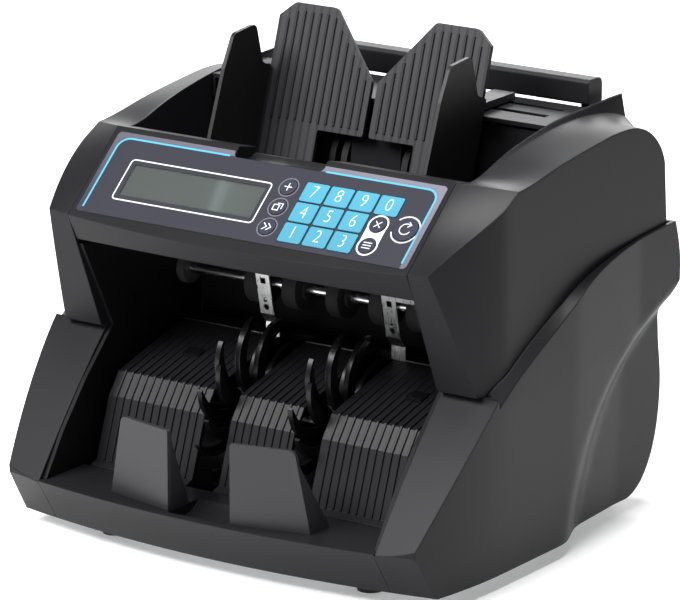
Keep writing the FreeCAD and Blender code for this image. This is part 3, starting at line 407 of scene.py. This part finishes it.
def piece(name, mesh, place, body, material):
    """Turns a mesh in millimetres into an object in its place, riding on a body."""
    bmesh.ops.recalc_face_normals(mesh, faces=mesh.faces)
    mesh.transform(Matrix.Scale(MM, 4))
    mesh.transform(place)
    data = bpy.data.meshes.new(name)
    mesh.to_mesh(data)
    mesh.free()
    made = bpy.data.objects.new(name, data)
    bpy.context.scene.collection.objects.link(made)
    data.materials.append(material)
    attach(made, body)
    return made


def finish_of(name):
    return bpy.data.materials[name]


def key_top(node):
    """Matrix whose origin is the middle of a key's face, with the panel's axes."""
    low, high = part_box(node)
    centre = (low + high) / 2 + OUTWARD * (KEY_FACE_MM * MM)
    return Matrix.Translation(centre) @ PANEL.to_3x3().to_4x4()


def key_on_sheet(node):
    """Where a key's centre lies on the sheet, in millimetres."""
    spot = PANEL.inverted() @ key_top(node).translation
    return spot.x / MM, spot.y / MM


# ------------------------------------------------------------------ settings

class CounterColours(bpy.types.PropertyGroup):
    """Colours of the machine."""

    shell: bpy.props.FloatVectorProperty(
        name="Shell", description="Satin covers",
        subtype="COLOR", size=4, default=(0.0095, 0.0095, 0.0108, 1))
    inner: bpy.props.FloatVectorProperty(
        name="Inner", description="Mouth walls and mechanism",
        subtype="COLOR", size=4, default=(0.0050, 0.0050, 0.0058, 1))
    plate: bpy.props.FloatVectorProperty(
        name="Plate", description="Guide plates between their ribs",
        subtype="COLOR", size=4, default=(0.020, 0.020, 0.023, 1))
    sheet: bpy.props.FloatVectorProperty(
        name="Panel", description="Printed panel sheet",
        subtype="COLOR", size=4, default=(0.014, 0.0148, 0.0225, 1))
    border: bpy.props.FloatVectorProperty(
        name="Border", description="Graded border of the sheet",
        subtype="COLOR", size=4, default=(0.125, 0.120, 0.155, 1))
    line: bpy.props.FloatVectorProperty(
        name="Line", description="Blue line round the sheet",
        subtype="COLOR", size=4, default=(0.045, 0.28, 0.40, 1))
    keys: bpy.props.FloatVectorProperty(
        name="Keys", description="Number keys",
        subtype="COLOR", size=4, default=(0.024, 0.185, 0.265, 1))
    legend: bpy.props.FloatVectorProperty(
        name="Legend", description="White print",
        subtype="COLOR", size=4, default=(0.56, 0.59, 0.62, 1))
    ring: bpy.props.FloatVectorProperty(
        name="Ring", description="Grey rings of the round keys",
        subtype="COLOR", size=4, default=(0.085, 0.085, 0.105, 1))
    display: bpy.props.FloatVectorProperty(
        name="Display", description="Display cell",
        subtype="COLOR", size=4, default=(0.020, 0.026, 0.025, 1))
    steel: bpy.props.FloatVectorProperty(
        name="Steel", description="Shafts and springs",
        subtype="COLOR", size=4, default=(0.90, 0.90, 0.90, 1))


class CounterSizes(bpy.types.PropertyGroup):
    """Sizes of the printing and the studio, in millimetres or metres."""

    ink_height: bpy.props.FloatProperty(
        name="Ink", description="Height of the print, mm", default=0.06, min=0.01)
    line_width: bpy.props.FloatProperty(
        name="Line", description="Width of the blue line, mm", default=1.15, min=0.2)
    digit_height: bpy.props.FloatProperty(
        name="Digits", description="Height of a numeral, mm", default=8.2, min=2)
    floor_size: bpy.props.FloatProperty(
        name="Floor", description="Radius of the floor", default=5.0, unit="LENGTH")


class FinishFrame(bpy.types.Operator):
    """Gives every part of the machine its finish"""

    bl_idname = "counter.finish_frame"
    bl_label = "Finish the parts"

    def execute(self, context):
        colours = context.scene.counter_colours
        made = {
            "shell": moulded("shell", colours.shell, 0.36, rounding=0.0012),
            "stoppers": moulded("stoppers", shade(colours.shell, 2.6), 0.36, rounding=0.0005, gloss=0.25),
            "back": moulded("back", shade(colours.shell, 1.2), 0.46, gloss=0.16),
            "guides": ribbed("guides", colours),
            "tray": moulded("tray", shade(colours.shell, 1.3), 0.40, rounding=0.0005, gloss=0.2),
            "inner": moulded("inner", colours.inner, 0.48, rounding=0.0005),
            "wheels": moulded("wheels", colours.inner, 0.30, rounding=0.0003, coat=0.3),
            "sheet": printed_sheet("sheet", colours),
            "keys": key_blue("keys", colours.keys),
            "round_keys": moulded("round_keys", shade(colours.sheet, 1.9), 0.36, rounding=0.0004),
            "cell": display_cell("cell", colours),
            "window": window("window"),
            "board": circuit("board", (0.01, 0.09, 0.035, 1)),
            "rollers": rubber("rollers", (0.012, 0.012, 0.013, 1)),
            "feet": rubber("feet", (0.02, 0.02, 0.02, 1), 0.66),
            "belt": rubber("belt", (0.015, 0.015, 0.016, 1), 0.6),
            "shafts": metal("shafts", colours.steel, 0.22),
            "springs": metal("springs", shade(colours.steel, 0.95), 0.28, (900.0, 900.0, 40.0)),
            "zinc": metal("zinc", (0.52, 0.53, 0.55, 1), 0.38, (60.0, 60.0, 60.0)),
            "motor": metal("motor", (0.34, 0.35, 0.37, 1), 0.42, (80.0, 300.0, 300.0)),
            "pulleys": moulded("pulleys", (0.55, 0.55, 0.52, 1), 0.45),
            "bushes": moulded("bushes", (0.05, 0.05, 0.05, 1), 0.4),
            "white_ink": ink("white_ink", colours.legend),
            "ring_ink": ink("ring_ink", colours.ring),
            "blue_ink": ink("blue_ink", colours.line),
            "dark_glass": moulded("dark_glass", (0.006, 0.006, 0.007, 1), 0.12, relief=0.02),
            "contacts": metal("contacts", (0.72, 0.55, 0.28, 1), 0.3),
        }
        groups = {
            "shell": ("upper_cover_left", "upper_cover_right", "lower_shell_left", "lower_shell_right",
                      "front_band", "front_bezel"),
            "stoppers": ("stoppers",),
            "back": ("rear_cover", "carry_handle", "cross_rail"),
            "guides": ("guide_left", "guide_right"),
            "tray": ("tray_panels", "hopper_tray"),
            "inner": ("mouth_cheeks", "note_guide", "power_inlet", "power_rocker", "gap_knob"),
            "wheels": ("stacker_wheels",),
            "sheet": ("panel_overlay",),
            "keys": DIGITS,
            "round_keys": ROUND_KEYS,
            "cell": ("display_module",),
            "window": ("display_window",),
            "board": ("control_board", "main_board"),
            "rollers": ("exit_rollers", "feed_rollers", "separator_pad"),
            "feet": ("feet",),
            "belt": ("drive_belt",),
            "shafts": ("exit_shaft", "feed_shaft", "stacker_shaft"),
            "springs": ("leaf_strips",),
            "zinc": ("base_pan", "side_frames", "power_supply", "base_screws"),
            "motor": ("drive_motor",),
            "pulleys": ("exit_pulley", "feed_pulley", "stacker_pulley", "motor_pulley"),
            "bushes": ("shaft_bushes",),
        }
        for finish, names in groups.items():
            for name in names:
                for slot in NODES[name].material_slots:
                    slot.material = made[finish]
        return {"FINISHED"}


class PrintPanel(bpy.types.Operator):
    """Prints the sheet: blue line, display outline, rings and the white capsule"""

    bl_idname = "counter.print_panel"
    bl_label = "Print the panel"

    def execute(self, context):
        sizes = context.scene.counter_sizes
        top = sizes.ink_height
        half, length, corner = SHEET_HALF - BORDER_MM, SHEET_LENGTH - BORDER_MM, LINE_CORNER_MM
        for side in (-1, 1):
            arc = circle(half - corner, length - corner, corner, 8, 0.0, 90.0)
            path = [(side * x, y) for x, y in [(half, 3.2)] + arc + [(NOTCH_MM, length)]]
            line = bmesh.new()
            add_band(line, path, sizes.line_width, 0.0, top, False)
            name = "blue_line_left" if side < 0 else "blue_line_right"
            piece(name, line, PANEL, "housing", finish_of("blue_ink"))
        low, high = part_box("display_window")
        spots = [PANEL.inverted() @ v for v in (low, high)]
        x0, x1 = low.x / MM - 3.2, high.x / MM + 2.8
        y0, y1 = spots[0].y / MM - 2.8, spots[1].y / MM + 2.4
        outline = bmesh.new()
        add_band(outline, rounded_path(x0, x1, y0, y1, 2.2), 0.75, 0.0, top, True)
        piece("display_outline", outline, PANEL, "housing", finish_of("white_ink"))
        rings = bmesh.new()
        for node in ROUND_KEYS[:3]:
            x, y = key_on_sheet(node)
            add_band(rings, circle(x, y, RING_MM), 0.75, 0.0, top, True)
        piece("key_rings", rings, PANEL, "housing", finish_of("ring_ink"))
        (cx, cy), (bx, by) = key_on_sheet("key_clear"), key_on_sheet("key_batch")
        capsule = bmesh.new()
        for x, y in ((cx, cy), (bx, by)):
            add_band(capsule, circle(x, y, RING_MM), 0.95, 0.0, top, True)
        waist = circle(bx, by, CAPSULE_MM, 20, 165.0, -150.0) + circle(cx, cy, CAPSULE_MM, 20, 345.0, -150.0)
        add_solid(capsule, waist, 0.0, top * 0.9)
        piece("key_capsule", capsule, PANEL, "housing", finish_of("white_ink"))
        x, y = key_on_sheet("key_restart")
        crescent = bmesh.new()
        add_band(crescent, circle(x, y, CRESCENT_MM - 0.1, 30, 200.0, 300.0), 0.7, 0.0, top, False)
        add_band(crescent, circle(x - 0.1, y - 0.1, CRESCENT_MM, 20, 40.0, 100.0), 1.0, 0.0, top, False)
        add_band(crescent, circle(x, y, CRESCENT_MM, 20, 215.0, 100.0), 0.95, 0.0, top, False)
        piece("key_crescent", crescent, PANEL, "housing", finish_of("white_ink"))
        return {"FINISHED"}


def numeral(node, text, height, ink_height):
    """A numeral on a key's face."""
    curve = bpy.data.curves.new(node + "_legend", "FONT")
    curve.body = text
    curve.size = height * 1.42
    curve.align_x, curve.align_y = "CENTER", "CENTER"
    curve.resolution_u = 4
    curve.offset = -0.03 * height
    holder = bpy.data.objects.new("holder", curve)
    context = bpy.context
    context.scene.collection.objects.link(holder)
    data = bpy.data.meshes.new_from_object(holder.evaluated_get(context.evaluated_depsgraph_get()))
    bpy.data.objects.remove(holder)
    mesh = bmesh.new()
    mesh.from_mesh(data)
    bpy.data.meshes.remove(data)
    middle_x = (min(v.co.x for v in mesh.verts) + max(v.co.x for v in mesh.verts)) / 2
    middle_y = (min(v.co.y for v in mesh.verts) + max(v.co.y for v in mesh.verts)) / 2
    for v in mesh.verts:
        v.co = Vector(((v.co.x - middle_x) * 0.84, v.co.y - middle_y + 0.5, ink_height))
    piece(node + "_legend", mesh, key_top(node), node, finish_of("white_ink"))


class MarkKeys(bpy.types.Operator):
    """Prints a numeral or a plain symbol on every key"""

    bl_idname = "counter.mark_keys"
    bl_label = "Mark the keys"

    def execute(self, context):
        sizes = context.scene.counter_sizes
        top = sizes.ink_height
        for node in DIGITS:
            numeral(node, node[-1], sizes.digit_height, top)
        marks = {
            "key_add": [[(-2.4, 0), (2.4, 0)], [(0, -2.4), (0, 2.4)]],
            "key_density": [[(-2.6, -2.2), (0.8, -2.2), (0.8, 1.2), (-2.6, 1.2), (-2.6, -2.2)],
                            [(-0.8, 2.2), (2.6, 2.2), (2.6, -1.2)]],
            "key_speed": [[(-2.6, -2.2), (-0.2, 0), (-2.6, 2.2)], [(0.2, -2.2), (2.6, 0), (0.2, 2.2)]],
            "key_clear": [[(-1.9, -1.9), (1.9, 1.9)], [(-1.9, 1.9), (1.9, -1.9)]],
            "key_batch": [[(-2.6, -1.7), (2.6, -1.7)], [(-2.6, 0), (2.6, 0)], [(-2.6, 1.7), (2.6, 1.7)]],
            "key_restart": [circle(0, 0, 3.4, 24, 60.0, 280.0), [(0.6, 4.6), (2.6, 3.0), (0.6, 1.4)]],
        }
        for node, strokes in marks.items():
            mark = bmesh.new()
            for i, stroke in enumerate(strokes):
                add_band(mark, stroke, 0.55, 0.0, top + 0.01 * i, False)
            piece(node + "_mark", mark, key_top(node), node, finish_of("white_ink"))
        return {"FINISHED"}


class TrimMouth(bpy.types.Operator):
    """Adds the sensor windows, bright steel strips on the tongue tops as a painted highlight of their edges,
    and the rivets inside the mouth
    """

    bl_idname = "counter.trim_mouth"
    bl_label = "Trim the mouth"

    def execute(self, context):
        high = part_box("tray_panels")[1]
        # Painted highlight: thin bright steel strips on the tongue tops stand in for the light along their
        # edges.
        edge = bmesh.new()
        for x0, x1 in ((-103.5, -40.0), (-20.0, 20.0), (40.0, 103.5)):
            add_solid(edge, rectangle(x0, x1, 3.0, 4.2), 0.0, 0.25)
        place = Matrix.Translation((0, 0, high.z))
        piece("tray_edge_highlight", edge, place, "housing", finish_of("springs"))
        fall = math.atan2(16, 59)
        slope = Matrix.Translation((0, 2 * MM, high.z)) @ Matrix.Rotation(fall, 4, "X")
        windows = bmesh.new()
        frames = bmesh.new()
        for side in (-1, 1):
            x0, x1 = sorted((side * 70.0, side * 79.0))
            add_solid(windows, rounded_path(x0, x1, -34.0, -27.5, 1.2), -0.2, 1.15)
            add_band(frames, rounded_path(x0 - 0.6, x1 + 0.6, -34.6, -26.9, 1.6), 1.0, -0.2, 1.0, True)
        piece("sensor_windows", windows, slope, "housing", finish_of("dark_glass"))
        piece("sensor_frames", frames, slope, "housing", finish_of("inner"))
        rivets = bmesh.new()
        rivet_x, rivet_y, rivet_z = STRIP_RIVET_MM
        for x in (-rivet_x, rivet_x):
            add_solid(rivets, circle(x, 0.0, 1.5, 20), 0.0, 0.4)
        facing = Matrix.Translation((0, rivet_y * MM, rivet_z * MM)) @ Matrix.Rotation(STRIP_LEAN, 4, "X")
        piece("strip_rivets", rivets, facing, "housing", finish_of("dark_glass"))
        return {"FINISHED"}


def screw_head(mesh, x, y, radius):
    """Crowned screw head; the cross on it is a dark piece of its own, painted shade for the cross recess."""
    rings = ((radius, 0.0), (radius, 0.5), (radius * 0.8, 0.95), (radius * 0.4, 1.15))
    loops = [[mesh.verts.new((px, py, z)) for px, py in circle(x, y, r, 24)] for r, z in rings]
    for a, b in zip(loops, loops[1:]):
        for i in range(24):
            mesh.faces.new((a[i], a[(i + 1) % 24], b[(i + 1) % 24], b[i]))
    mesh.faces.new(loops[-1])
    mesh.faces.new(loops[0][::-1])


class FitBack(bpy.types.Operator):
    """Adds the back's screws, the inlet's contacts and the switch's marks"""

    bl_idname = "counter.fit_back"
    bl_label = "Fit the back"

    def execute(self, context):
        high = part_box("rear_cover")[1]
        back = Matrix.Translation((0, high.y, 0)) @ Matrix.Rotation(math.radians(-90), 4, "X")
        screws = bmesh.new()
        # Painted shade: dark crosses laid on the heads stand in for the shade inside their recesses.
        slot_shade = bmesh.new()
        for x in BACK_SCREWS_X:
            for z in BACK_SCREWS_Z:
                screw_head(screws, x, -z, 3.0)
                add_solid(slot_shade, rectangle(x - 1.6, x + 1.6, -z - 0.3, -z + 0.3), 1.0, 1.2)
                add_solid(slot_shade, rectangle(x - 0.3, x + 0.3, -z - 1.6, -z + 1.6), 1.0, 1.21)
        piece("back_screws", screws, back, "housing", finish_of("zinc"))
        piece("back_screw_slot_shade", slot_shade, back, "housing", finish_of("inner"))
        pins = bmesh.new()
        for x in (-78.0, -71.0, -64.0):
            add_solid(pins, rectangle(x - 1.1, x + 1.1, -42.1, -37.9), -15.5, -2.9)
        piece("inlet_contacts", pins, back, "housing", finish_of("contacts"))
        swing = math.radians(-12)
        face = Matrix.Translation(Vector(SWITCH_AXIS_MM) * MM) @ Matrix.Rotation(swing, 4, "X")
        face = face @ Matrix.Translation((0, 3.2 * MM, 0)) @ Matrix.Rotation(math.radians(-90), 4, "X")
        marks = bmesh.new()
        add_band(marks, circle(0, -4.6, 1.7, 24), 0.5, 0.0, 0.06, True)
        add_solid(marks, rectangle(-0.3, 0.3, 3.0, 6.4), 0.0, 0.06)
        piece("switch_marks", marks, face, "power_rocker", finish_of("white_ink"))
        return {"FINISHED"}


# ------------------------------------------------------------------ studio

def area_light(name, spot, aim, size, power, colour=(1, 1, 1)):
    data = bpy.data.lights.new(name, "AREA")
    data.shape = "RECTANGLE"
    data.size, data.size_y = size
    data.energy = power
    data.color = colour
    lamp = bpy.data.objects.new(name, data)
    lamp.location = spot
    lamp.rotation_euler = (Vector(aim) - Vector(spot)).to_track_quat("-Z", "Y").to_euler()
    lamp.visible_camera = False
    bpy.context.scene.collection.objects.link(lamp)


class BuildStudio(bpy.types.Operator):
    """Makes the pale floor, the lights and the camera"""

    bl_idname = "counter.build_studio"
    bl_label = "Build the studio"

    def execute(self, context):
        scene = context.scene
        half = scene.counter_sizes.floor_size
        glow = {"Emission_Color": (1, 1, 1, 1), "Emission_Strength": 0.25}
        paper = Paint("studio_paper", Specular_IOR_Level=0.2, **glow)
        grain = paper.noise(40.0, 2.0)
        paper.set("Base Color", paper.mix(grain, (0.86, 0.86, 0.86, 1), (0.9, 0.9, 0.9, 1)))
        paper.set("Roughness", 0.8 + 0.1 * grain)
        sheet = bmesh.new()
        rim = [sheet.verts.new((x, y, 0)) for x, y in circle(0, 0, half, 64)]
        sheet.faces.new(rim)
        data = bpy.data.meshes.new("studio_floor")
        sheet.to_mesh(data)
        sheet.free()
        data.materials.append(paper.material)
        floor = bpy.data.objects.new("studio_floor", data)
        scene.collection.objects.link(floor)
        world = bpy.data.worlds.new("studio")
        world.use_nodes = True
        world.node_tree.nodes["Background"].inputs["Color"].default_value = (1, 1, 1, 1)
        world.node_tree.nodes["Background"].inputs["Strength"].default_value = 0.25
        scene.world = world
        for name, spot, size, power in LIGHTS:
            aim = (0.1, 0, 0.15) if name == "right_strip" else (0, 0, 0.12)
            area_light(name, spot, aim, size, power)
        azimuth, elevation = math.radians(CAMERA_AZIMUTH), math.radians(CAMERA_ELEVATION)
        level = math.cos(elevation)
        back = Vector((math.sin(azimuth) * level, -math.cos(azimuth) * level, math.sin(elevation)))
        right = Vector((math.cos(azimuth), math.sin(azimuth), 0))
        up = back.cross(right)
        camera = bpy.data.objects.new("camera", bpy.data.cameras.new("camera"))
        camera.data.lens = 264.7
        camera.data.sensor_width = 36.0
        camera.data.clip_end = 50.0
        turned = Matrix((right, up, back)).transposed().to_4x4()
        camera.matrix_world = Matrix.Translation(CAMERA_SPOT) @ turned
        scene.collection.objects.link(camera)
        scene.camera = camera
        scene.view_settings.view_transform = "Standard"
        return {"FINISHED"}


class CounterPanel(bpy.types.Panel):
    """Lists the operators and their settings"""

    bl_idname = "VIEW3D_PT_counter"
    bl_label = "Banknote counter"
    bl_space_type = "VIEW_3D"
    bl_region_type = "UI"
    bl_category = "Counter"

    def draw(self, context):
        for group in (context.scene.counter_colours, context.scene.counter_sizes):
            for name in group.__annotations__:
                self.layout.prop(group, name)
        for operator in OPERATORS:
            self.layout.operator(operator.bl_idname)


OPERATORS = (FinishFrame, PrintPanel, MarkKeys, TrimMouth, FitBack, BuildStudio)
CLASSES = (CounterColours, CounterSizes) + OPERATORS + (CounterPanel,)


def register():
    for made in CLASSES:
        bpy.utils.register_class(made)
    bpy.types.Scene.counter_colours = bpy.props.PointerProperty(type=CounterColours)
    bpy.types.Scene.counter_sizes = bpy.props.PointerProperty(type=CounterSizes)


def unregister():
    del bpy.types.Scene.counter_sizes
    del bpy.types.Scene.counter_colours
    for made in reversed(CLASSES):
        bpy.utils.unregister_class(made)


def main():
    register()
    for operator in OPERATORS:
        group, name = operator.bl_idname.split(".")
        getattr(getattr(bpy.ops, group), name)()


if __name__ == "__main__":
    main()
